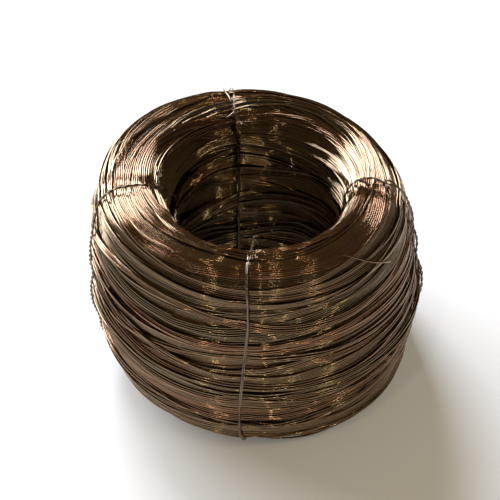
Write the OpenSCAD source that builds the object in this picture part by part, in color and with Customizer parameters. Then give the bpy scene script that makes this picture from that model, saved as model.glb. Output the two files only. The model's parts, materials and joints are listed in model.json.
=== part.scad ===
// Coil of thin bronze wire, stored flat with its axis upright.
// One long wire is wound into a thick ring with a clear bore, and four binding wires hold
// the turns together. Sizes are in millimetres, +Z is up, and z = 0 is the floor.
// The origin is on the axis of the coil, at the level of the floor.

/* [Wire] */
// Diameter of the wire
wire_d = 1; // [0.8:0.1:1.4]
// Distance from one turn to the next where turns lie side by side
turn_pitch = 1.05; // [1.05:0.05:1.4]
// How far the turns stand out of the ends of the coil
wire_relief = 0.35; // [0.2:0.05:0.4]

/* [Coil] */
// Diameter of the bore, left by the drum that the wire was wound on
bore_d = 124; // [110:1:134]
// Outside diameter at the fattest place
coil_od = 250; // [244:1:270]
// Height of the coil as it lies
coil_h = 170; // [160:1:184]
// Height of the fattest place above the floor
belly_z = 64; // [60:1:74]
// How far the wall leans in from the fattest place to the crown
crown_taper = 14; // [10:1:16]
// Radius of the crown next to the bore
crown_inner_r = 27; // [24:1:29]
// How far the wall leans in from the fattest place to the foot
foot_taper = 6; // [4:1:8]
// Radius of the foot next to the bore
inner_foot_r = 22; // [18:1:24]
// Width of the level stretch between the two rounded sides of the foot
foot_flat = 6; // [3:1:8]
// Height of the waist under the lowest lay of wire
lower_waist_z = 50; // [46:1:54]
// Height of the waist under the highest lay of wire
upper_waist_z = 98; // [92:1:106]
// How far a waist draws in
waist_dip = 2.5; // [0:0.5:3]
// Height of the stretch of wall that a waist draws in
waist_span = 28; // [20:1:28]
// How far the lowest turns are pressed level on the floor
settle = 0.15; // [0.1:0.05:0.2]

/* [Binding wires] */
// Diameter of a binding wire
tie_d = 1; // [0.8:0.1:1.2]
// Gap between its two laps, and between the two strands of its twist
lap_gap = 0.1; // [0.1:0.05:0.3]
// Clearance between a binding wire and the turns that it pinches
tie_clear = 0.2; // [0.15:0.05:0.3]
// Length in which a binding wire crosses from its first lap to its second
crossing_len = 10; // [8:1:14]
// Number of turns in the twist that closes it
twist_turns = 2; // [1:0.5:3]
// Length of one turn of the twist
twist_pitch = 4.5; // [4:0.5:6]
// Radius in which the twist is bent over
fold_r = 2.5; // [2:0.5:4]
// How far over the twist is bent
fold_angle = 80; // [60:1:85]
// Length of a cut end beyond the twist
tail_len = 5; // [3:1:8]

/* [Hidden] */

bore_r = bore_d / 2;
coil_r = coil_od / 2;
tie_r = tie_d / 2;

// The crown and the foot turn over to the wall in what the width of the section leaves.
section_w = coil_r - bore_r;
outer_crown_r = section_w - crown_taper - crown_inner_r;
outer_foot_r = section_w - foot_taper - inner_foot_r - foot_flat;

// A binding wire lies in a channel, with its outer side at the foot of the turns' relief.
tie_inset = wire_relief + tie_r;
channel_depth = tie_inset + tie_r + tie_clear;
lap_offset = (tie_d + lap_gap) / 2;

// Height of the twist's start over the lap that crosses under it
lift = 2 * tie_d;
// Part of each rounded corner, next to the bore and the wall, where the turns lie too close
// to show
smooth_angle = 12;
// Steps in each arc of the wall, the same for the turns, the channels and the binding wires, so
// that these run parallel
wall_steps = 12;
// Length of the steps in which a channel and a binding wire go round the crown, short enough
// for the wire to stay clear of its channel
channel_step = 2;
tie_step = 3;
channel_half_angle = asin((lap_offset + tie_r + tie_clear) / bore_r);

// Direction of each binding wire from the axis, seen from above
front_az = 267;
right_az = 353;
back_az = 102;
left_az = 187;
tie_azimuths = [front_az, right_az, back_az, left_az];

// Where on the crown a twist stands: 180 is next to the bore, 90 is the top, 0 is outside
inner_slope = 135;
near_top = 105;
outer_slope = 75;
// Which way a twist is bent over, as an angle from outwards
outwards = 0;
along_turns = 90;
to_bore = 180;
back_along_turns = -90;

// ---- section of the coil: arcs that run on into one another ----

inner_crown_c = [bore_r + crown_inner_r, coil_h - crown_inner_r];
outer_crown_c = [inner_crown_c.x, coil_h - outer_crown_r];
inner_foot_c = [bore_r + inner_foot_r, inner_foot_r];
outer_foot_c = [inner_foot_c.x + foot_flat, outer_foot_r];

// Radius of the wall between the fattest place and a corner of centre c and radius r, which
// ends in from it by the taper
function wall_r(c, r) =
    let (out = coil_r - c.x, up = belly_z - c.y, taper = out - r)
    (out * out + up * up - r * r) / (2 * taper);

// Centre of that wall's arc, and the angle at which it meets the corner
function wall_c(c, r) = [coil_r - wall_r(c, r), belly_z];
function wall_end(c, r) = let (v = c - wall_c(c, r)) atan2(v.y, v.x);

crown_end = wall_end(outer_crown_c, outer_crown_r);
foot_end = wall_end(outer_foot_c, outer_foot_r);

function arc(c, r, from, to, steps) =
    [for (i = [0 : steps]) let (a = from + (to - from) * i / steps) c + r * [cos(a), sin(a)]];

// Centre and radius of the crown's arc at an angle
function crown_c(a) = a > 90 ? inner_crown_c : outer_crown_c;
function crown_r(a) = a > 90 ? crown_inner_r : outer_crown_r;
function on_crown(a, inset) = crown_c(a) + (crown_r(a) - inset) * [cos(a), sin(a)];

// The crown from one angle to another, in even steps of about the given length
function crown(inset, from, to, step) =
    let (steps = ceil(abs(to - from) / 180 * PI * (crown_inner_r - inset) / step))
    [for (i = [0 : steps]) on_crown(from + (to - from) * i / steps, inset)];

// How far the wall draws in at height z: most at a waist, fading out above and below it
function dip(z, waist_z) = waist_dip * pow(max(0, 1 - pow(2 * (z - waist_z) / waist_span, 2)), 2);

// Outer wall from the crown to the foot
function wall(inset) =
    let (upper_r = wall_r(outer_crown_c, outer_crown_r) - inset,
         lower_r = wall_r(outer_foot_c, outer_foot_r) - inset,
         upper = arc(wall_c(outer_crown_c, outer_crown_r), upper_r, crown_end, 0, wall_steps),
         lower = arc(wall_c(outer_foot_c, outer_foot_r), lower_r, 0, foot_end, wall_steps))
    [for (p = concat(upper, [for (i = [1 : wall_steps]) lower[i]]))
        p - [dip(p.y, upper_waist_z) + dip(p.y, lower_waist_z), 0]];

// Foot from the outer wall to the bore
function foot(inset, steps) =
    concat(arc(outer_foot_c, outer_foot_r - inset, foot_end, -90, steps),
           arc(inner_foot_c, inner_foot_r - inset, -90, -180, steps));

// ---- the coil ----

// Height of a turn's round back over the valleys beside it, in four steps from one valley
// to the next
ridge = [0, 0.75, 1, 0.75];

// The backs of turns that lie side by side round a corner
function turns(c, r, from, to) =
    let (count = floor(abs(to - from) / 180 * PI * r / turn_pitch), steps = len(ridge) * count)
    [for (i = [0 : steps])
        let (a = from + (to - from) * i / steps)
        c + (r - wire_relief * (1 - ridge[i % len(ridge)])) * [cos(a), sin(a)]];

// The same along the level stretch of the foot
function level_turns() =
    let (count = floor(foot_flat / turn_pitch), steps = len(ridge) * count)
    [for (i = [1 : steps - 1])
        [outer_foot_c.x - foot_flat * i / steps, wire_relief * (1 - ridge[i % len(ridge)])]];

function rest(v) = [for (i = [1 : len(v) - 1]) v[i]];
function settled(points) = [for (p = points) [p.x, max(0, p.y - settle)]];

module coil_section() {
    polygon(concat(
        [[bore_r, inner_foot_c.y], [bore_r, inner_crown_c.y]],
        turns(inner_crown_c, crown_inner_r, 180 - smooth_angle, 90),
        rest(turns(outer_crown_c, outer_crown_r, 90, crown_end + smooth_angle)),
        wall(0),
        settled(concat(
            turns(outer_foot_c, outer_foot_r, foot_end - smooth_angle, -90),
            level_turns(),
            turns(inner_foot_c, inner_foot_r, -90, smooth_angle - 180)))));
}

// Ring of metal that is absent at a binding wire, where it pinches the turns
module channel_section() {
    difference() {
        translate([bore_r - wire_d, -wire_d])
            square([coil_r - bore_r + 2 * wire_d, coil_h + 2 * wire_d]);
        polygon(concat(
            crown(channel_depth, 180, crown_end, channel_step),
            wall(channel_depth),
            foot(channel_depth, 16)));
    }
}

module wire_coil() {
    color([0.36, 0.27, 0.17])
        difference() {
            rotate_extrude($fn = 180) coil_section();
            for (az = tie_azimuths)
                rotate([0, 0, az - channel_half_angle])
                    rotate_extrude(angle = 2 * channel_half_angle, $fn = 180) channel_section();
        }
}

// ---- binding wires, drawn with x away from the axis, y along the turns and z up ----

function unit(v) = v / norm(v);
function reverse(v) = [for (i = [len(v) - 1 : -1 : 0]) v[i]];
function last(v) = v[len(v) - 1];
function middle(v) = [for (i = [1 : len(v) - 2]) v[i]];

// One lap round the section, from one angle on the crown over the outside, under the foot
// and up the bore to the other
function lap(from, to, y) =
    [for (p = concat(crown(tie_inset, from, crown_end, tie_step),
                     middle(wall(tie_inset)),
                     foot(tie_inset, 12),
                     crown(tie_inset, 180, to, tie_step)))
        [p.x, y, p.y]];

// The short way between the laps, under the twist
function crossing(from, to, steps) =
    [for (i = [1 : steps - 1])
        let (p = on_crown(from + (to - from) * i / steps, tie_inset))
        [p.x, -lap_offset * cos(180 * i / steps), p.y]];

function bezier(a, b, c, d, steps) =
    [for (i = [1 : steps]) let (t = i / steps, s = 1 - t)
        s * s * s * a + 3 * s * s * t * b + 3 * s * t * t * c + t * t * t * d];

// One end of the wire: out of the lap, round the twist and on to the cut.
// side is 1 for the start of the first lap and -1 for the end of the second.
function tie_end(lap_point, knot_at, lay, side) =
    let (out = [cos(knot_at), 0, sin(knot_at)],
         along = [sin(knot_at), 0, -cos(knot_at)],
         over = cos(lay) * along + [0, sin(lay), 0],
         across = cross(out, over),
         foot_point = on_crown(knot_at, tie_inset),
         start = [foot_point.x, 0, foot_point.y] + lift * out,
         bent = fold_r * fold_angle * PI / 180,
         twist_len = twist_turns * twist_pitch,
         steps = ceil(twist_turns * 9),
         twist = [for (i = [0 : steps])
             let (u = twist_len * i / steps,
                  bend = min(u, bent) / fold_r * 180 / PI,
                  ahead = cos(bend) * out + sin(bend) * over,
                  turn = 360 * u / twist_pitch - lay + (side < 0 ? 180 : 0),
                  axis_point = start + fold_r * (sin(bend) * out + (1 - cos(bend)) * over)
                      + max(0, u - bent) * ahead)
             axis_point + lap_offset * (cos(turn) * (cos(bend) * over - sin(bend) * out)
                 + sin(turn) * across)],
         rise = bezier(lap_point, lap_point - side * tie_d * along,
                       twist[0] + [0, lap_point.y, 0] + tie_d * (side * along - 0.8 * out),
                       twist[0], 6),
         away = unit(last(twist) - twist[steps - 1]))
    concat(rise, [for (i = [1 : steps]) twist[i]],
           [last(twist) + tail_len / 3 * away, last(twist) + tail_len * unit(away + 0.2 * out)]);

// Closed tube of radius r along a path. Each ring's first corner follows from the one before.
module tube(path, r, sides) {
    n = len(path);
    ahead = [for (i = [0 : n - 1]) unit(path[min(i + 1, n - 1)] - path[max(i - 1, 0)])];
    function square_to(v, t) = unit(v - (v * t) * t);
    corner = [for (i = 0, v = square_to([0.3, 1, 0.2], ahead[0]); i < n;
                   v = square_to(v, ahead[min(i + 1, n - 1)]), i = i + 1) v];
    points = [for (i = [0 : n - 1]) for (k = [0 : sides - 1])
        path[i] + r * (cos(360 * k / sides) * corner[i]
            + sin(360 * k / sides) * cross(ahead[i], corner[i]))];
    faces = concat(
        [[for (k = [0 : sides - 1]) k]],
        [for (i = [0 : n - 2]) for (k = [0 : sides - 1])
            let (a = i * sides + k, b = i * sides + (k + 1) % sides) [a, a + sides, b + sides, b]],
        [[for (k = [sides - 1 : -1 : 0]) (n - 1) * sides + k]]);
    polyhedron(points, faces);
}

// knot_at is where on the crown the twist stands, and lay is the way it is bent over.
module tie(az, knot_at, lay) {
    half = crossing_len / 2 / (crown_r(knot_at) - tie_inset) * 180 / PI;
    first = lap(knot_at - half, knot_at + half, -lap_offset);
    second = lap(knot_at - half, knot_at + half, lap_offset);
    color([0.55, 0.43, 0.27])
        rotate([0, 0, az])
            tube(concat(reverse(tie_end(first[0], knot_at, lay, 1)),
                        first,
                        crossing(knot_at + half, knot_at - half, 5),
                        second,
                        tie_end(last(second), knot_at, lay, -1)),
                 tie_r, 8);
}

module tie_front() { tie(front_az, inner_slope, along_turns); }
module tie_right() { tie(right_az, outer_slope, outwards); }
module tie_back() { tie(back_az, near_top, to_bore); }
module tie_left() { tie(left_az, inner_slope, back_along_turns); }

wire_coil();
tie_front();
tie_right();
tie_back();
tie_left();
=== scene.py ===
# %% [markdown]
# # A coil of bronze wire
#
# The object is raw stock: one very long, thin bronze wire wound into a thick ring and tied
# with four binding wires. The CAD model already fixes its size, its bore and the ties. This
# script gives it its looks. The CAD solid shows its turns only as ridges on its ends, while
# the real coil is hundreds of turns that cross and gap, so the solid is replaced by turns
# that are laid one by one.

import json
import math

import bpy
import numpy as np
from mathutils import Matrix, Vector


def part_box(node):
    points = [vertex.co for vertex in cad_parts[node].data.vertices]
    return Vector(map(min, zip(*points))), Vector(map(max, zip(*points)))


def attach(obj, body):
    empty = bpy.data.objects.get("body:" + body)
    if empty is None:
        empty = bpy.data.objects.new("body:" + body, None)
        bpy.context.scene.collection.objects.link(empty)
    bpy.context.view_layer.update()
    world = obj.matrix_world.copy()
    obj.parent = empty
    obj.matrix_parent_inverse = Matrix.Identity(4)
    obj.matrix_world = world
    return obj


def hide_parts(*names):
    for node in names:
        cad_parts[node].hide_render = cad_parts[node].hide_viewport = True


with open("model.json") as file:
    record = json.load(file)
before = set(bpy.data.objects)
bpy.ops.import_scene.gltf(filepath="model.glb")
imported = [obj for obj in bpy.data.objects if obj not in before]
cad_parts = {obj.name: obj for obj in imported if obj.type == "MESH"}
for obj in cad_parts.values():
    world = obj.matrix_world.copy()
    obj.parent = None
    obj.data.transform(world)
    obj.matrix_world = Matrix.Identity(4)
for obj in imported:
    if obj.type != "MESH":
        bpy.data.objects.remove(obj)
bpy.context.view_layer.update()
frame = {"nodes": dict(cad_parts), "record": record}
print("CAD nodes:", sorted(frame["nodes"]))

# %% [markdown]
# ## Sizes
#
# Winding is easier to think about in millimetres, so the cells that lay wire use them, and
# one factor turns the result into metres. The bore, the width and the height come from the
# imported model. The other sizes describe the section: a straight wall at the bore, a round
# arch on top, a slightly bulging outer wall and a foot with a narrow level stretch. The
# azimuths are those at which the model's binding wires stand. A tube with few sides is drawn
# a little wider than the wire, so that its mean width is right.

# %% Sizes of the coil, in millimetres
MM = 0.001
coil_low, coil_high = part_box("wire_coil")
bore_mount = next(m for m in frame["record"]["mounts"] if m["kind"] == "bore")
BORE_R = bore_mount["dims"]["r_mm"]
COIL_R = (coil_high.x - coil_low.x) / 2 / MM
COIL_H = (coil_high.z - coil_low.z) / MM
WIRE_D = 1.0
WIRE_R = WIRE_D / 2
TUBE_SWELL = 1.12
TUBE_R = WIRE_R * TUBE_SWELL
BELLY_Z = 64
CROWN_TAPER = 14
INNER_CROWN_R = 27
FOOT_TAPER = 6
INNER_FOOT_R = 22
FOOT_FLAT = 6
OUTER_CROWN_R = COIL_R - BORE_R - CROWN_TAPER - INNER_CROWN_R
OUTER_FOOT_R = COIL_R - BORE_R - FOOT_TAPER - INNER_FOOT_R - FOOT_FLAT
TIE_AZIMUTHS = {"tie_front": 267, "tie_right": 353, "tie_back": 102, "tie_left": 187}
print(f"bore {BORE_R * 2:.0f}, width {COIL_R * 2:.0f}, height {COIL_H:.0f} mm")

# %% [markdown]
# ## The bed
#
# Every turn is described by how far round the section it runs, s, and how high it lies over
# a bed a few millimetres inside the coil's outline. The bed is a closed chain of arcs. A
# curve object could hold it, but a plain table of cells of equal length is quicker, because
# a place s can be looked up directly. Each cell keeps its normal, the way that "up" points.

# %% Arcs of the section
BED_DEPTH = 5.0
CELL = 0.1


def arc(centre, radius, start, end):
    steps = max(2, int(abs(math.radians(end - start)) * radius / CELL))
    angles = np.radians(np.linspace(start, end, steps))
    return np.stack([centre[0] + radius * np.cos(angles), centre[1] + radius * np.sin(angles)], 1)


def wall_arc(centre, radius):
    """Radius, centre and end angle of the outer wall's arc that runs on into a corner."""
    out, up = COIL_R - centre[0], BELLY_Z - centre[1]
    wall_r = (out * out + up * up - radius * radius) / (2 * (out - radius))
    wall_c = (COIL_R - wall_r, BELLY_Z)
    return wall_r, wall_c, math.degrees(math.atan2(centre[1] - wall_c[1], centre[0] - wall_c[0]))


# %% Outline of the section
def section_outline(inset):
    inner_crown = (BORE_R + INNER_CROWN_R, COIL_H - INNER_CROWN_R)
    outer_crown = (inner_crown[0], COIL_H - OUTER_CROWN_R)
    inner_foot = (BORE_R + INNER_FOOT_R, INNER_FOOT_R)
    outer_foot = (inner_foot[0] + FOOT_FLAT, OUTER_FOOT_R)
    upper_r, upper_c, crown_end = wall_arc(outer_crown, OUTER_CROWN_R)
    lower_r, lower_c, foot_end = wall_arc(outer_foot, OUTER_FOOT_R)
    return np.concatenate([
        arc(inner_crown, INNER_CROWN_R - inset, 180, 90),
        arc(outer_crown, OUTER_CROWN_R - inset, 90, crown_end),
        arc(upper_c, upper_r - inset, crown_end, 0),
        arc(lower_c, lower_r - inset, 0, foot_end),
        arc(outer_foot, OUTER_FOOT_R - inset, foot_end, -90),
        arc(inner_foot, INNER_FOOT_R - inset, -90, -180)])


# %% The bed in even cells
NORMAL_REACH = 8
TILT = 0.001


def even_cells(points):
    closed = np.concatenate([points, points[:1]])
    along = np.concatenate([[0], np.cumsum(np.linalg.norm(np.diff(closed, axis=0), axis=1))])
    cells = int(along[-1] / CELL)
    places = np.arange(cells) * along[-1] / cells
    return np.stack([np.interp(places, along, closed[:, k]) for k in (0, 1)], 1)


bed = even_cells(section_outline(BED_DEPTH))
ahead = np.roll(bed, -NORMAL_REACH, 0) - np.roll(bed, NORMAL_REACH, 0)
bed_normal = np.stack([-ahead[:, 1], ahead[:, 0]], 1) / np.linalg.norm(ahead, axis=1)[:, None]
CELLS = len(bed)
GIRTH = CELLS * CELL
crown_s = np.argmax(bed[:, 1]) * CELL
belly_s = np.argmax(bed[:, 0]) * CELL
# The foot is level for a stretch, and a slight tilt picks the outer end of it.
foot_s = np.argmin(bed[:, 1] - TILT * bed[:, 0]) * CELL
print(f"girth of the bed {GIRTH:.0f} mm, crown at {crown_s:.0f}, belly at {belly_s:.0f}")

# %% [markdown]
# ## Laying wire on wire
#
# A real coil looks the way it does because each turn lies on those before it: it drops into
# a groove where it runs along with them and rides up where it crosses. One could scatter
# tubes at random depths, but they would cut through each other. So the turns are laid as a
# winder lays them. A height map over azimuth and place, the heap, holds how high the middle
# of one more wire would lie. A new turn reads its height there, is stiffened, because a
# wire can't follow a sharp step, and raises the heap under itself. The heap has a row for
# each step round the coil, and the row nearest to a binding wire is moved to its azimuth.

# %% The heap
STEPS = 144
azimuth = np.arange(STEPS) * 2 * math.pi / STEPS
tie_rows = {}
for tie, degrees in TIE_AZIMUTHS.items():
    tie_rows[tie] = round(degrees / 360 * STEPS) % STEPS
    azimuth[tie_rows[tie]] = math.radians(degrees)
heap = np.full((STEPS, CELLS), WIRE_R)
side_cells = np.arange(-int(WIRE_D / CELL) + 1, int(WIRE_D / CELL))
side_rise = np.sqrt(WIRE_D ** 2 - (side_cells * CELL) ** 2)
print(f"heap of {STEPS} rows by {CELLS} cells")


# %% Rest one turn on the heap
RIDE_CURVE = 0.003
RIDE_REACH = 8


def cell_of(places):
    return np.rint(places / CELL).astype(int) % CELLS


def stiffened(height, step_mm, closed):
    """The lowest stiff curve over a row of heights: each one holds up a shallow parabola."""
    out = height.copy()
    for shift in range(1, RIDE_REACH + 1):
        lift = height - RIDE_CURVE * (shift * step_mm) ** 2
        if closed:
            out = np.maximum(out, np.maximum(np.roll(lift, shift), np.roll(lift, -shift)))
        else:
            out[shift:] = np.maximum(out[shift:], lift[:-shift])
            out[:-shift] = np.maximum(out[:-shift], lift[shift:])
    return out


def lay_turn(places, rows):
    """Rests one turn on the heap, raises the heap under it and returns its heights."""
    step_mm = bed[cell_of(places), 0].mean() * 2 * math.pi / STEPS
    height = stiffened(heap[rows, cell_of(places)], step_mm, True)
    columns = (cell_of(places)[:, None] + side_cells[None]) % CELLS
    lifted = height[:, None] + side_rise[None]
    heap[rows[:, None], columns] = np.maximum(heap[rows[:, None], columns], lifted)
    return height


# %% [markdown]
# ## Runs of wire
#
# A winder's hand moves slowly, so neighbouring turns lie close and run along together: a run
# of up to a dozen turns forms a ribbon. Each ribbon wanders up and down the coil as it goes
# round, which makes ribbons cross at small angles with a dark wedge beside each crossing, and
# some ribbons fan out at one side. On the crown they wander less. Small kinks are shared by
# the turns of a ribbon, because each turn rests against the one before it, and they slip a
# little from turn to turn. So they catch the light in short, slanting rows of glints.

# %% One run of turns
SEED = 90
rng = np.random.default_rng(SEED)
CLOSE_PITCH = WIRE_D * 1.01
FANS = (0, 0.03, 0.08, 0.15, 0.3, 0.5)
CROWN_CALM, CROWN_REACH = 0.6, 35
SHIVER, SHIVER_WAVES, SHIVER_RATES, SHIVER_PHASE = 0.11, 3, (3, 12), 6.3
KINK, KINK_WAVES, FIRST_KINK, KINK_SLIP = 0.06, 5, 14, 0.02


def wander(turning, sizes, first=1):
    """A sum of waves round the coil, the longest of them with first waves to a turn."""
    return sum(size * np.cos((k + first) * turning + rng.uniform(0, 2 * math.pi))
               for k, size in enumerate(sizes))


def run_places(start, turns, sizes):
    """Where one run's turns go: the place of every sample, and its row of the heap."""
    rows = (rng.integers(STEPS) + np.arange(turns * STEPS)) % STEPS
    turning = azimuth[rows]
    fan = rng.choice(FANS) * (0.5 + 0.5 * np.cos(turning + rng.uniform(0, 2 * math.pi)))
    pitch = (CLOSE_PITCH + WIRE_D * fan) * rng.choice([-1, 1])
    calm = 1 - CROWN_CALM * math.exp(-((start - crown_s) / CROWN_REACH) ** 2)
    drift = calm * wander(turning, rng.normal(0, sizes))
    wound = np.arange(turns * STEPS) / STEPS
    shiver = sum(rng.normal(0, SHIVER) * np.cos(wound * rng.uniform(*SHIVER_RATES)
                                                + rng.uniform(0, SHIVER_PHASE))
                 for _ in range(SHIVER_WAVES))
    slip = rng.normal(0, KINK_SLIP)
    kinks = wander(turning + slip * wound, rng.normal(0, KINK, KINK_WAVES), FIRST_KINK)
    return start + drift + pitch * wound + shiver + kinks, rows


# %% Lay a run
runs = []
NEAR_TOP = 97


def waiting_height(run):
    """How high the heap already is, nearly at its highest, where a run would lie."""
    places, rows = run
    return np.percentile(heap[rows, cell_of(places)], NEAR_TOP)


def lay_run(places, rows):
    """Lays a run turn by turn and keeps it."""
    turns = len(places) // STEPS
    height = np.concatenate([
        lay_turn(places[k * STEPS:(k + 1) * STEPS], rows[k * STEPS:(k + 1) * STEPS])
        for k in range(turns)])
    step_mm = bed[cell_of(places), 0].mean() * 2 * math.pi / STEPS
    runs.append({"places": places, "rows": rows, "height": stiffened(height, step_mm, False)})


# %% [markdown]
# ## Filling the coil
#
# The first layer is wound close all round the section, so that no gap further up is
# see-through. Ribbons follow, long ones first. Each new ribbon is the best of a few random
# ones, the one that would lie lowest, and one that would stand out of the coil is not laid.

# %% Fill the coil
HEAP_LIMIT = BED_DEPTH - WIRE_R
CHOICES = 9
FIRST_WANDER = (2.0, 1.2, 0.6)
RIBBON_WANDER = (7.0, 4.0, 2.4, 1.2, 0.6)
LONGEST_AND_PATIENCE = ((13, 14), (8, 20), (4, 30))
first_turns = int(GIRTH / CLOSE_PITCH)
first_rows = np.arange(first_turns * STEPS) % STEPS
first_drift = wander(azimuth[first_rows], FIRST_WANDER)
lay_run(CLOSE_PITCH * np.arange(first_turns * STEPS) / STEPS + first_drift, first_rows)
for longest, patience in LONGEST_AND_PATIENCE:
    refused = 0
    while refused < patience:
        turns = int(rng.integers(1, longest))
        choices = [run_places(rng.uniform(0, GIRTH), turns, RIBBON_WANDER)
                   for _ in range(CHOICES)]
        lowest = min(choices, key=waiting_height)
        if waiting_height(lowest) > HEAP_LIMIT:
            refused += 1
            continue
        lay_run(*lowest)
        refused = 0
turns_laid = sum(len(run["places"]) for run in runs) / STEPS
print(f"{len(runs)} runs, {turns_laid:.0f} turns, mean heap {heap.mean():.2f} mm")

# %% [markdown]
# ## Which wire shows
#
# Most of the wire in a coil is buried. Only the stretches that can be seen between the
# turns over them are swept into tubes, so the triangles go where the eye does. A sample of
# wire is buried where the heap is well above it from side to side. A stretch that shows is
# kept with a small margin, and one of only a few samples is left out.

# %% Find the stretches that show
PROBES = np.array([-0.7, -0.35, 0, 0.35, 0.7]) * WIRE_D
BURIED = 1.45 * WIRE_D
MARGIN = 5
TOO_SHORT = 4


def shows(run):
    """For every sample of a run, whether it can be seen."""
    over = np.min([heap[run["rows"], cell_of(run["places"] + side)] for side in PROBES], 0)
    seen = over < run["height"] + BURIED
    return np.convolve(seen, np.ones(MARGIN), "same") > 0


def stretches(run):
    """First sample and end of each stretch of a run that shows."""
    seen = shows(run)
    edges = np.flatnonzero(np.diff(np.concatenate([[0], seen.astype(int), [0]])))
    return [(a, min(b + 1, len(seen)))
            for a, b in zip(edges[::2], edges[1::2]) if b - a > TOO_SHORT]


samples = sum(b - a for run in runs for a, b in stretches(run))
print(f"{samples / STEPS:.0f} turns' worth of wire shows")

# %% [markdown]
# ## From the bed to the real form
#
# The bed is a perfect ring. The real coil has sagged: it leans a little, its crown has
# dropped on the right, where its side is flatter too, and its foot has slid to the right,
# with a notch above it at the front. Its lays bulge between shallow waists, and each binding
# wire pinches it. A Lattice could bend the finished meshes, but it would squash the round
# wires. Instead one function puts any point of the winding in its place before it is swept,
# so wires and ties bend together and stay in contact. The sag grows from the bore outwards,
# over SAG_DEPTH, and WIDE and DEEP keep the leaning coil inside the solid's box.

# %% Sizes of the sag, in millimetres
SAG_DEPTH = 30
WAISTS = ((98, 2.5), (50, 2.5))
WAIST_REACH = 10
NOTCH_Z, NOTCH, NOTCH_SIDE = 24, 3.5, math.radians(-42)
FLAT_SIDE = 1.8
FOOT_SHIFT, FOOT_SHIFT_REACH = 4, 22
PINCH, PINCH_REACH = 1.0, 6
LEAN_X, LEAN_Y = -9, 6
PIVOT_X, PIVOT_Y = 0.42, 0.376
DROP = 7
WIDE, DEEP = 0.993, 0.991


# %% Place a point of the winding
def pinch_at(angle, radius):
    """How far the nearest binding wire pulls the winding in."""
    depth = 0
    for degrees in TIE_AZIMUTHS.values():
        away = (angle - math.radians(degrees) + math.pi) % (2 * math.pi) - math.pi
        depth = depth + PINCH * np.exp(-(away * radius / PINCH_REACH) ** 2)
    return depth


def place(angle, s, height):
    """Positions in metres of points at an azimuth, a place on the bed and a height over it."""
    cell = (s / CELL) % CELLS
    low = np.floor(cell).astype(int) % CELLS
    part = (cell - np.floor(cell))[..., None]
    at = bed[low] * (1 - part) + bed[(low + 1) % CELLS] * part
    up = bed_normal[low] * (1 - part) + bed_normal[(low + 1) % CELLS] * part
    at = at + up * (height - pinch_at(angle, at[..., 0]))[..., None]
    radius, z = at[..., 0], at[..., 1]
    outside = np.clip((radius - BORE_R) / SAG_DEPTH, 0, 1)
    for waist_z, dip in WAISTS:
        radius = radius - outside * dip * np.exp(-((z - waist_z) / WAIST_REACH) ** 2)
    notch = NOTCH * np.clip(np.cos(angle - NOTCH_SIDE), 0, 1) ** 2
    radius = radius - outside * notch * np.exp(-((z - NOTCH_Z) / WAIST_REACH) ** 2)
    level = np.clip(z / COIL_H, 0, 1)
    x = WIDE * radius * np.cos(angle) + LEAN_X * outside * (level - PIVOT_X)
    x = x - FLAT_SIDE * outside * np.clip(np.cos(angle), 0, 1)
    x = x + FOOT_SHIFT * outside * np.exp(-(z / FOOT_SHIFT_REACH) ** 2)
    y = DEEP * radius * np.sin(angle) + LEAN_Y * outside * (level - PIVOT_Y)
    z = z - DROP * outside * level * np.clip(0.5 + x / COIL_R / 2, 0, 1)
    return np.stack([x, y, np.maximum(z, TUBE_R)], -1) * MM


top_of_row = place(azimuth, np.full(STEPS, crown_s), np.full(STEPS, HEAP_LIMIT))[:, 2] / MM
print(f"the crown is {top_of_row.min():.0f} to {top_of_row.max():.0f} mm high")

# %% [markdown]
# ## Sweeping the wire
#
# A tube along a path can be a curve with a bevel, a Skin modifier or a sweep in Geometry
# Nodes. The node tree is the best fit here: it takes a mesh of bare edges with hundreds of
# separate stretches, turns them into curves and sweeps one small circle along all of them.
# Its inputs are the wire's radius, the number of sides and the material.

# %% The sweeping tree
def sweep_tree(name):
    tree = bpy.data.node_groups.new(name, "GeometryNodeTree")
    face = tree.interface
    face.new_socket("Geometry", in_out="INPUT", socket_type="NodeSocketGeometry")
    face.new_socket("Wire radius", in_out="INPUT", socket_type="NodeSocketFloat")
    face.new_socket("Sides", in_out="INPUT", socket_type="NodeSocketInt")
    face.new_socket("Material", in_out="INPUT", socket_type="NodeSocketMaterial")
    face.new_socket("Geometry", in_out="OUTPUT", socket_type="NodeSocketGeometry")
    node = tree.nodes.new
    link = tree.links.new
    given, result = node("NodeGroupInput"), node("NodeGroupOutput")
    to_curve, circle = node("GeometryNodeMeshToCurve"), node("GeometryNodeCurvePrimitiveCircle")
    to_mesh, smooth = node("GeometryNodeCurveToMesh"), node("GeometryNodeSetShadeSmooth")
    real, finish = node("GeometryNodeRealizeInstances"), node("GeometryNodeSetMaterial")
    to_mesh.inputs["Fill Caps"].default_value = True
    link(given.outputs["Geometry"], to_curve.inputs["Mesh"])
    link(given.outputs["Wire radius"], circle.inputs["Radius"])
    link(given.outputs["Sides"], circle.inputs["Resolution"])
    link(to_curve.outputs["Curve"], to_mesh.inputs["Curve"])
    link(circle.outputs["Curve"], to_mesh.inputs["Profile Curve"])
    link(to_mesh.outputs["Mesh"], smooth.inputs["Geometry"])
    link(smooth.outputs["Geometry"], real.inputs["Geometry"])
    link(real.outputs["Geometry"], finish.inputs["Geometry"])
    link(given.outputs["Material"], finish.inputs["Material"])
    link(finish.outputs["Geometry"], result.inputs["Geometry"])
    return tree


wire_sweep = sweep_tree("wire_sweep")
print("tree:", wire_sweep.name, "with", len(wire_sweep.nodes), "nodes")


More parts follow.
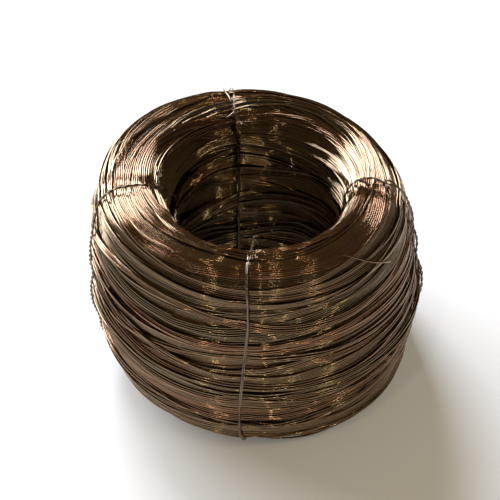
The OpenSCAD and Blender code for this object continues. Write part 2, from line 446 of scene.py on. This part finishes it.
# %% Sweep paths into a piece
def swept(name, paths, tones, radius, sides, material):
    """One mesh of tubes along paths of points, each point with its own tone."""
    points = np.concatenate(paths)
    ends = np.cumsum([len(p) for p in paths])
    first = np.arange(len(points) - 1)
    first = first[~np.isin(first + 1, ends)]
    mesh = bpy.data.meshes.new(name + "_paths")
    mesh.from_pydata(points.tolist(), np.stack([first, first + 1], 1).tolist(), [])
    mesh.attributes.new("tone", "FLOAT", "POINT").data.foreach_set("value", np.concatenate(tones))
    source = bpy.data.objects.new(name + "_paths", mesh)
    bpy.context.scene.collection.objects.link(source)
    modifier = source.modifiers.new("sweep", "NODES")
    modifier.node_group = wire_sweep
    sockets = {item.name: item.identifier for item in wire_sweep.interface.items_tree
               if item.in_out == "INPUT"}
    modifier[sockets["Wire radius"]] = radius
    modifier[sockets["Sides"]] = sides
    modifier[sockets["Material"]] = material
    depsgraph = bpy.context.evaluated_depsgraph_get()
    result = bpy.data.meshes.new_from_object(source.evaluated_get(depsgraph))
    bpy.data.objects.remove(source)
    piece = bpy.data.objects.new(name, result)
    bpy.context.scene.collection.objects.link(piece)
    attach(piece, "root")
    triangles = sum(len(p.vertices) - 2 for p in result.polygons)
    print(f"{name}: {len(paths)} stretches, {triangles} triangles")
    return piece


# %% [markdown]
# ## The bronze
#
# Drawn bronze is a bare metal: its colour is in its reflections, so the base is metallic and
# dark, and the brightness comes from the lamps. A thin, glossy film of oxide and drawing
# grease lies over it, so a coat gives a second, whiter glint. Stripes painted on a smooth
# ring could stand for wires from afar, but only real tubes put every glint in its place.
# Each run was drawn and handled a little differently, so tone, carried by every point of the
# wire, shifts it between olive, brown and a warmer copper. Dull patches are noise in the
# roughness.

# %% Bronze material
FILM = {"Coat Weight": 0.85, "Coat IOR": 1.75, "Coat Roughness": 0.06}
EDGE_TINT = (0.6, 0.42, 0.25, 1)
PATCH_SCALE, PATCH_DETAIL = 55.0, 4.0
SMOOTHEST, DULLEST = 0.75, 1.35


def bronze(name, tones, roughness):
    """Bare bronze in three tones, from the darkest to the warmest."""
    dark, middle, warm = tones
    material = bpy.data.materials.new(name)
    material.use_nodes = True
    nodes, links = material.node_tree.nodes, material.node_tree.links
    shader = nodes["Principled BSDF"]
    shader.inputs["Metallic"].default_value = 1.0
    shader.inputs["Specular Tint"].default_value = EDGE_TINT
    for socket, value in FILM.items():
        shader.inputs[socket].default_value = value
    tone = nodes.new("ShaderNodeAttribute")
    tone.attribute_name = "tone"
    ramp = nodes.new("ShaderNodeValToRGB")
    ramp.color_ramp.elements[0].color = (*dark, 1)
    ramp.color_ramp.elements[1].color = (*warm, 1)
    ramp.color_ramp.elements.new(0.5).color = (*middle, 1)
    links.new(tone.outputs["Fac"], ramp.inputs["Fac"])
    links.new(ramp.outputs["Color"], shader.inputs["Base Color"])
    where = nodes.new("ShaderNodeTexCoord")
    patches = nodes.new("ShaderNodeTexNoise")
    patches.inputs["Scale"].default_value = PATCH_SCALE
    patches.inputs["Detail"].default_value = PATCH_DETAIL
    links.new(where.outputs["Object"], patches.inputs["Vector"])
    dull = nodes.new("ShaderNodeMapRange")
    dull.inputs["To Min"].default_value = roughness * SMOOTHEST
    dull.inputs["To Max"].default_value = roughness * DULLEST
    links.new(patches.outputs["Fac"], dull.inputs["Value"])
    links.new(dull.outputs["Result"], shader.inputs["Roughness"])
    return material


# %% Coil and tie bronze
WIRE_TONES = ((0.15, 0.1, 0.038), (0.18, 0.107, 0.037), (0.24, 0.105, 0.037))
TIE_TONES = ((0.12, 0.085, 0.05), (0.15, 0.1, 0.058), (0.18, 0.115, 0.065))
WIRE_ROUGHNESS, TIE_ROUGHNESS = 0.12, 0.25
wire_bronze = bronze("wire_bronze", WIRE_TONES, WIRE_ROUGHNESS)
tie_bronze = bronze("tie_bronze", TIE_TONES, TIE_ROUGHNESS)
print("materials:", wire_bronze.name, tie_bronze.name)

# %% [markdown]
# ## The turns that show
#
# One mesh of all the turns would be too heavy to handle, so the stretches are shared out to
# seven pieces by where they lie on the section. A stretch of more than a turn is cut, and
# each length goes to the region of its middle. The wire's outer end isn't part of any run:
# it lies across the other turns on the shoulder, and goes with them.

# %% Share the stretches out
REGION_STARTS = {"bore_turns": -60, "crown_turns": crown_s - 36, "shoulder_turns": crown_s + 20,
                 "wall_turns": belly_s - 38, "belly_turns": belly_s,
                 "foot_turns": belly_s + 46, "under_turns": foot_s}
borders = [*REGION_STARTS.values(), GIRTH + REGION_STARTS["bore_turns"]]
REGIONS = dict(zip(REGION_STARTS, zip(borders, borders[1:])))
LONGEST = STEPS + 2
MEAN_TONE, RUN_TONES, LENGTH_TONES = 0.5, 0.2, 0.12


def in_region(middle, bounds):
    """Whether a place lies between two others, counted on round the section."""
    return (middle - bounds[0]) % GIRTH < bounds[1] - bounds[0]


laid = {region: ([], []) for region in REGIONS}
for run in runs:
    run_tone = rng.normal(MEAN_TONE, RUN_TONES)
    for first, last in stretches(run):
        for a in range(first, last - 1, LONGEST - 1):
            b = min(a + LONGEST, last)
            middle = run["places"][(a + b) // 2]
            region = next(name for name in REGIONS if in_region(middle, REGIONS[name]))
            angle = azimuth[run["rows"][a:b]]
            laid[region][0].append(place(angle, run["places"][a:b], run["height"][a:b]))
            laid[region][1].append(np.full(b - a, run_tone + rng.normal(0, LENGTH_TONES)))
print({region: len(paths) for region, (paths, _) in laid.items()})

# %% The wire's outer end
END_AZIMUTHS, END_PLACES = (-51, -32), (crown_s + 9, crown_s + 33)
END_SAMPLES = 60
END_STIFFNESS = (1.0, 2.0)
END_TONE = 0.6


def row_of(angle):
    return np.rint(angle * STEPS / 2 / math.pi).astype(int) % STEPS


def outer_end():
    """The last stretch of the wire, which lies across the other turns to where it was cut."""
    angle = np.radians(np.linspace(*END_AZIMUTHS, END_SAMPLES))
    places = np.linspace(*END_PLACES, END_SAMPLES)
    heights = heap[row_of(angle), cell_of(places)]
    for step_mm in END_STIFFNESS:
        heights = stiffened(heights, step_mm, False)
    return place(angle, places, heights)


loose = outer_end()
laid["shoulder_turns"][0].append(loose)
laid["shoulder_turns"][1].append(np.full(len(loose), END_TONE))
print(f"the outer end is {np.linalg.norm(loose[-1] - loose[0]) / MM:.0f} mm long")

# %% Sweep the turns
WIRE_SIDES = 5
for region, (paths, tones) in laid.items():
    piece = swept(region, paths, tones, TUBE_R * MM, WIRE_SIDES, wire_bronze)
    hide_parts("wire_coil")

# %% [markdown]
# ## The buried wire
#
# Behind the turns that show lies more wire, always in shade. It could all be swept, at
# nearly twice the triangles. One closed ring on the bed stands for it instead, so that the
# coil is solid from every side. Its colour is painted shade: the bronze is made dark and
# dull, with fine ribs in the bump, because wire in a deep shade mirrors nothing but wire.

# %% Buried wire's painted shade
RIB_SCALE = 1 / (WIRE_D * MM) / math.pi / 2
# The shade colour is painted shade: the buried wire is the same bronze, only unlit.
SHADE_COLOUR, SHADE_ROUGHNESS, SHADE_SPECULAR = (0.02, 0.011, 0.005), 0.7, 0.1


def shade_painted_bronze(name, colour):
    """Bronze darkened and dulled as painted shade, with fine, level ribs."""
    material = bpy.data.materials.new(name)
    material.use_nodes = True
    nodes, links = material.node_tree.nodes, material.node_tree.links
    shader = nodes["Principled BSDF"]
    shader.inputs["Base Color"].default_value = (*colour, 1)
    shader.inputs["Roughness"].default_value = SHADE_ROUGHNESS
    shader.inputs["Specular IOR Level"].default_value = SHADE_SPECULAR
    where = nodes.new("ShaderNodeTexCoord")
    ribs = nodes.new("ShaderNodeTexWave")
    ribs.bands_direction = "Z"
    ribs.inputs["Scale"].default_value = RIB_SCALE
    bump = nodes.new("ShaderNodeBump")
    bump.inputs["Distance"].default_value = WIRE_R * MM
    links.new(where.outputs["Object"], ribs.inputs["Vector"])
    links.new(ribs.outputs["Fac"], bump.inputs["Height"])
    links.new(bump.outputs["Normal"], shader.inputs["Normal"])
    return material


# The core's dark colour is painted shade, not a colour of its own.
shaded_bronze = shade_painted_bronze("shaded_bronze", SHADE_COLOUR)
print("material:", shaded_bronze.name)

# %% Buried core
CORE_SIDES = 96
CORE_STEP = 10
core_angles = np.arange(CORE_SIDES) * 2 * math.pi / CORE_SIDES
core_places = np.arange(0, CELLS, CORE_STEP) * CELL


def ring_mesh(name, angles, places):
    """A closed ring with its surface on the bed."""
    grid = place(angles[:, None], places[None], np.zeros((len(angles), len(places))))
    rows, columns = grid.shape[:2]
    index = np.arange(rows * columns).reshape(rows, columns)
    right, down = np.roll(index, -1, 0), np.roll(index, -1, 1)
    corner = np.roll(right, -1, 1)
    faces = np.stack([index, right, corner, down], -1).reshape(-1, 4)
    mesh = bpy.data.meshes.new(name)
    mesh.from_pydata(grid.reshape(-1, 3).tolist(), [], faces.tolist())
    mesh.shade_smooth()
    return mesh


core_mesh = ring_mesh("buried_wire", core_angles, core_places)
core = bpy.data.objects.new("buried_wire", core_mesh)
bpy.context.scene.collection.objects.link(core)
core_mesh.materials.append(shaded_bronze)
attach(core, "root")
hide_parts("wire_coil")
print("buried_wire:", len(core_mesh.polygons), "faces")

# %% [markdown]
# ## Binding wires
#
# Each binding wire is one length taken round the coil twice. Swept along the plain section
# it would float or sink in. Pulled tight, it touches only the turns that stand highest and
# runs straight between them, so its path is the stiffened heap under it. Two laps lie side
# by side or, where they were twisted up tight, wind round each other as a cord. The ends are
# twisted together on the crown and bent over: a helix around a short bent axis, with one end
# on each side of it, and then a free tail.
#
# Each tie was made by hand, so each has sizes of its own, in millimetres, degrees and turns.
# They say where on the crown its knot sits, which way it lies, how often its ends are
# twisted, how far they are folded over, how long the tail is and how far it curls. Then
# follow how long one twist of the two laps is, how far the laps spread beside the knot, and
# how far the tie slants to one side at five places round the section.

# %% Sizes of the ties
TIES = {
    "tie_front": {"knot": 140, "lay": 90, "twist": 1.6, "fold": 4, "tail": 7, "curl": 150,
                  "cord": 190, "spread": 2.0, "spread_at": 0, "spread_reach": 8,
                  "slant": (0.5, 4, 4, -5, -10)},
    "tie_right": {"knot": 70, "lay": 0, "twist": 1.6, "fold": 95, "tail": 3.5, "curl": -30,
                  "cord": 11, "spread": 0.6, "spread_at": 28, "spread_reach": 12,
                  "slant": (6, 5, 11, 5, 0)},
    "tie_back": {"knot": 118, "lay": 155, "twist": 1.5, "fold": 95, "tail": 13, "curl": -20,
                 "cord": 230, "spread": 3.0, "spread_at": 14, "spread_reach": 12,
                 "slant": (1, -3, -3, 0, 2)},
    "tie_left": {"knot": 138, "lay": -60, "twist": 1.8, "fold": 70, "tail": 11, "curl": -300,
                 "cord": 9, "spread": 0, "spread_at": 0, "spread_reach": 1,
                 "slant": (-5, 10, 18, 14, 5)}}
SLANT_PLACES = (crown_s - 24, crown_s, crown_s + 40, belly_s, foot_s)
print("most slanted:", max(TIES, key=lambda tie: max(map(abs, TIES[tie]["slant"]))))


# %% Places on a tie
def unit(v):
    return v / np.linalg.norm(v)


def crown_place(degrees):
    """A place on the crown: 180 is next to the bore, 90 is the top, 0 is outside."""
    inner = math.radians(180 - max(degrees, 90)) * (INNER_CROWN_R - BED_DEPTH)
    return inner + math.radians(90 - min(degrees, 90)) * (OUTER_CROWN_R - BED_DEPTH)


def slant_at(tie, places):
    """How far a tie stands beside its azimuth at places round the section."""
    return np.interp(places, SLANT_PLACES, TIES[tie]["slant"], period=GIRTH)


# %% One lap of a tie
LAP_OFFSET = 0.55
LAP_STEP, LAP_KEPT = 0.5, 3
PULLED_TIGHT = (LAP_STEP, 1.0, 1.0, 1.0)


def lap(tie, start, finish, turn):
    """One lap round the section. turn is 0 for one strand of the cord and pi for the other."""
    sizes, row = TIES[tie], tie_rows[tie]
    places = np.arange(start, finish, LAP_STEP)
    slant = slant_at(tie, places)
    spread = sizes["spread"] * np.exp(-((places - start - sizes["spread_at"])
                                        / sizes["spread_reach"]) ** 2)
    phase = 2 * math.pi * (places - start) / sizes["cord"] + turn
    radius = bed[cell_of(places), 0]
    middle = azimuth[row] + slant / radius
    heights = heap[row_of(middle), cell_of(places)]
    for step_mm in PULLED_TIGHT:
        heights = stiffened(heights, step_mm, False)
    heights = heights + LAP_OFFSET * (np.abs(np.sin(phase)) + np.sin(phase))
    side = (LAP_OFFSET + spread) * np.cos(phase)
    keep = slice(None, None, LAP_KEPT)
    return place((middle + side / radius)[keep], places[keep], heights[keep])


# %% The free tail of a tie
TAIL_STEPS = 12


def bezier(a, b, c, d, steps):
    """A smooth bend from a to d that sets out towards b and comes in from c."""
    t = np.linspace(0, 1, steps + 1)[1:, None]
    return (1 - t) ** 3 * a + 3 * (1 - t) ** 2 * t * b + 3 * (1 - t) * t * t * c + t ** 3 * d


def free_tail(end, away, bend_to, length, curl):
    """A bare end that runs on from the twist and curls towards one side."""
    points = [end]
    for k in range(TAIL_STEPS):
        turned = math.radians(curl) * (k + 0.5) / TAIL_STEPS
        ahead = math.cos(turned) * away + math.sin(turned) * bend_to
        points.append(points[-1] + length / TAIL_STEPS * MM * ahead)
    return points[1:]


# %% The twisted end of a tie
TWIST_PITCH, TWIST_STEPS, TWIST_LIFT = 4.5, 22, 1.0
FOLD_R = 2.5
RISE_AHEAD, RISE_BELOW, RISE_STEPS = 1.2, 0.8, 6
SHORT_TAIL = 0.55


def twisted_end(tie, lap_point, lap_ahead, knot_s, side):
    """From the lap's end up round the twist to the cut, for one of the two strands."""
    sizes, row = TIES[tie], tie_rows[tie]
    lay = math.radians(sizes["lay"])
    height = heap[row, cell_of(np.array([knot_s]))]
    aside = slant_at(tie, np.array([knot_s])) / bed[cell_of(np.array([knot_s])), 0]
    angle = azimuth[row] + aside
    foot = place(angle, np.array([knot_s]), height)[0]
    out = unit(place(angle, np.array([knot_s]), height + 1)[0] - foot)
    along = unit(place(angle, np.array([knot_s + 1]), height)[0] - foot)
    turnwise = np.array([-math.sin(angle[0]), math.cos(angle[0]), 0])
    over = unit(math.cos(lay) * along + math.sin(lay) * turnwise)
    across = np.cross(out, over)
    start = foot + TWIST_LIFT * MM * out
    u = np.linspace(0, sizes["twist"] * TWIST_PITCH, TWIST_STEPS)[:, None]
    bent = FOLD_R * math.radians(sizes["fold"])
    bend = np.minimum(u, bent) / FOLD_R
    ahead = np.cos(bend) * out + np.sin(bend) * over
    axis = start + MM * (FOLD_R * (np.sin(bend) * out + (1 - np.cos(bend)) * over)
                         + np.maximum(0, u - bent) * ahead)
    turn = 2 * math.pi * u / TWIST_PITCH - lay + (math.pi if side < 0 else 0)
    strand = axis + LAP_OFFSET * MM * (np.cos(turn) * (np.cos(bend) * over - np.sin(bend) * out)
                                       + np.sin(turn) * across)
    rise = bezier(lap_point, lap_point + RISE_AHEAD * MM * lap_ahead,
                  strand[0] - MM * (RISE_BELOW * out + side * along), strand[0], RISE_STEPS)
    away = unit(strand[-1] - strand[-2])
    length = sizes["tail"] * (1 if side > 0 else SHORT_TAIL)
    tail = free_tail(strand[-1], away, unit(np.cross(across, away)), length, sizes["curl"])
    return np.concatenate([rise, strand[1:], tail])


# %% The whole path of a tie
HALF_CROSSING = 5.0
CROSSING_STEPS = 9


def tie_path(tie):
    """From one cut end round the coil twice, past its own start, to the other cut end."""
    row = tie_rows[tie]
    knot_s = crown_place(TIES[tie]["knot"])
    start, finish = knot_s + HALF_CROSSING, knot_s + GIRTH - HALF_CROSSING
    first, second = lap(tie, start, finish, math.pi), lap(tie, start, finish, 0)
    begin = twisted_end(tie, first[0], unit(first[0] - first[1]), knot_s, 1)
    end = twisted_end(tie, second[-1], unit(second[-1] - second[-2]), knot_s, -1)
    places = np.arange(knot_s - HALF_CROSSING, knot_s + HALF_CROSSING)
    height = heap[row, cell_of(places)].max() * np.ones(len(places))
    aside = slant_at(tie, places) / bed[cell_of(places), 0]
    over = place(azimuth[row] + aside, places, height).mean(0)
    crossing = bezier(first[-1], over, over, second[0], CROSSING_STEPS)[:-1]
    return np.concatenate([begin[::-1], first, crossing, second, end])


# %% Sweep the ties
TIE_SIDES = 8
for tie in TIES:
    path = tie_path(tie)
    tones = np.full(len(path), MEAN_TONE)
    piece = swept(tie + "_wire", [path], [tones], WIRE_R * MM, TIE_SIDES, tie_bronze)
    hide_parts(tie)

# %% [markdown]
# ## The camera
#
# The camera stands in front and looks down at about half a right angle, so that the bore,
# the crown and the front are all in view. A fairly long lens keeps the perspective mild.
# It aims a little beside the coil's middle, because the coil leans.

# %% Camera
CAMERA_DISTANCE = 0.897
CAMERA_ELEVATION = math.radians(45.4)
LENS = 86.7
MIDDLE = Vector((0, 0, 0.08))
AIM = MIDDLE + Vector((-0.0051, 0.0056, 0.0068))

camera_data = bpy.data.cameras.new("camera")
camera_data.lens = LENS
camera = bpy.data.objects.new("camera", camera_data)
bpy.context.scene.collection.objects.link(camera)
backwards = Vector((0, -math.cos(CAMERA_ELEVATION), math.sin(CAMERA_ELEVATION)))
stand = MIDDLE + CAMERA_DISTANCE * backwards
look = (AIM - stand).to_track_quat("-Z", "Y").to_matrix().to_4x4()
camera.matrix_world = Matrix.Translation(stand) @ look
bpy.context.scene.camera = camera
print("camera at", [round(v, 3) for v in stand])

# %% [markdown]
# ## The floor
#
# The floor is plain and pale, and it keeps the coil's shadow. To lift it to white without
# more light on the coil, its paint mixes in a little light of its own. Only the camera and
# mirror rays see that share, so the bronze mirrors the same floor that is seen.

# %% Floor paint
PAINT_COLOUR, PAINT_ROUGHNESS = (0.96, 0.94, 0.9, 1), 0.9
OWN_LIGHT = 0.1


def pale_paint(name):
    """Plain paint, with a little light of its own for camera and mirror rays."""
    material = bpy.data.materials.new(name)
    material.use_nodes = True
    nodes, links = material.node_tree.nodes, material.node_tree.links
    paint = nodes["Principled BSDF"]
    paint.inputs["Base Color"].default_value = PAINT_COLOUR
    paint.inputs["Roughness"].default_value = PAINT_ROUGHNESS
    paint.inputs["Specular IOR Level"].default_value = 0.0
    rays = nodes.new("ShaderNodeLightPath")
    seen = nodes.new("ShaderNodeMath")
    seen.operation = "MAXIMUM"
    share = nodes.new("ShaderNodeMath")
    share.operation = "MULTIPLY"
    share.inputs[1].default_value = OWN_LIGHT
    white = nodes.new("ShaderNodeEmission")
    blend = nodes.new("ShaderNodeMixShader")
    links.new(rays.outputs["Is Camera Ray"], seen.inputs[0])
    links.new(rays.outputs["Is Glossy Ray"], seen.inputs[1])
    links.new(seen.outputs[0], share.inputs[0])
    links.new(share.outputs[0], blend.inputs["Fac"])
    links.new(paint.outputs[0], blend.inputs[1])
    links.new(white.outputs[0], blend.inputs[2])
    links.new(blend.outputs[0], nodes["Material Output"].inputs["Surface"])
    return material


# %% Floor
FLOOR = 6.0
FLOOR_CORNERS = [(-FLOOR, -FLOOR, 0), (FLOOR, -FLOOR, 0), (FLOOR, FLOOR, 0), (-FLOOR, FLOOR, 0)]
floor_mesh = bpy.data.meshes.new("floor")
floor_mesh.from_pydata(FLOOR_CORNERS, [], [(0, 1, 2, 3)])
floor = bpy.data.objects.new("floor", floor_mesh)
bpy.context.scene.collection.objects.link(floor)
floor_mesh.materials.append(pale_paint("floor_paint"))
print(f"floor: {FLOOR * 2:.0f} m wide")

# %% [markdown]
# ## The lamps
#
# Wire is a bundle of tiny cylinders, and a cylinder mirrors a lamp only where it turns its
# side to the half-way direction between lamp and eye. Two broad panels stand behind, mostly
# on the left: a high skylight and a lower window that leans. They light two opposite
# stretches of the ring, the left shoulder and the right inner wall, and leave the front and
# the back dark. Four thin, warm strips high in front give almost no light, but the kinks of
# the wires mirror them as sparks. A dim, warm world fills the shade.

# %% A soft lamp
OVER_COIL = Vector((0, 0, 0.1))


def soft_lamp(name, azimuth_deg, elevation_deg, distance, width, height, radiance,
              lean=0, colour=(1, 1, 1)):
    """A lit panel that faces the coil. Its strength is the radiance that wires mirror."""
    a, e = math.radians(azimuth_deg), math.radians(elevation_deg)
    towards = Vector((math.cos(a) * math.cos(e), math.sin(a) * math.cos(e), math.sin(e)))
    offset = distance * towards
    data = bpy.data.lights.new(name, "AREA")
    data.shape = "RECTANGLE"
    data.size, data.size_y = width, height
    data.energy = radiance * width * height * math.pi
    data.color = colour
    lamp = bpy.data.objects.new(name, data)
    bpy.context.scene.collection.objects.link(lamp)
    facing = (-offset).to_track_quat("-Z", "Y").to_matrix().to_4x4()
    lamp.matrix_world = (Matrix.Translation(OVER_COIL + offset) @ facing
                         @ Matrix.Rotation(math.radians(lean), 4, "Z"))
    size = width * height / distance ** 2
    print(f"{name}: gives the floor {radiance * size * math.sin(e) / math.pi:.2f} of full light")


# %% Panels behind the coil
DAYLIGHT = (0.93, 1.0, 1.15)
PANEL_DISTANCE = 5.0
WINDOW_LEAN = 66
soft_lamp("skylight", azimuth_deg=111, elevation_deg=42, distance=PANEL_DISTANCE,
          width=1.75, height=1.38, radiance=31, colour=DAYLIGHT)
soft_lamp("window", azimuth_deg=143, elevation_deg=22, distance=PANEL_DISTANCE,
          width=1.7, height=3.8, radiance=14.5, lean=WINDOW_LEAN, colour=DAYLIGHT)

# %% Strips in front, for sparks
GOLD = (1.0, 0.9, 0.62)
STRIP_PLACES = ((-35, 50), (-60, 60), (-84, 32), (-118, 56))
for number, (azimuth_deg, elevation_deg) in enumerate(STRIP_PLACES, 1):
    soft_lamp(f"spark_{number}", azimuth_deg, elevation_deg, distance=1.5,
              width=0.018, height=0.36, radiance=48, colour=GOLD)

# %% The world
WORLD_COLOUR, WORLD_STRENGTH = (1, 0.77, 0.5, 1), 0.17
world = bpy.data.worlds.new("studio")
bpy.context.scene.world = world
world.use_nodes = True
background = world.node_tree.nodes["Background"]
background.inputs["Color"].default_value = WORLD_COLOUR
background.inputs["Strength"].default_value = WORLD_STRENGTH
bpy.context.scene.view_settings.view_transform = "Standard"
print("world:", world.name)
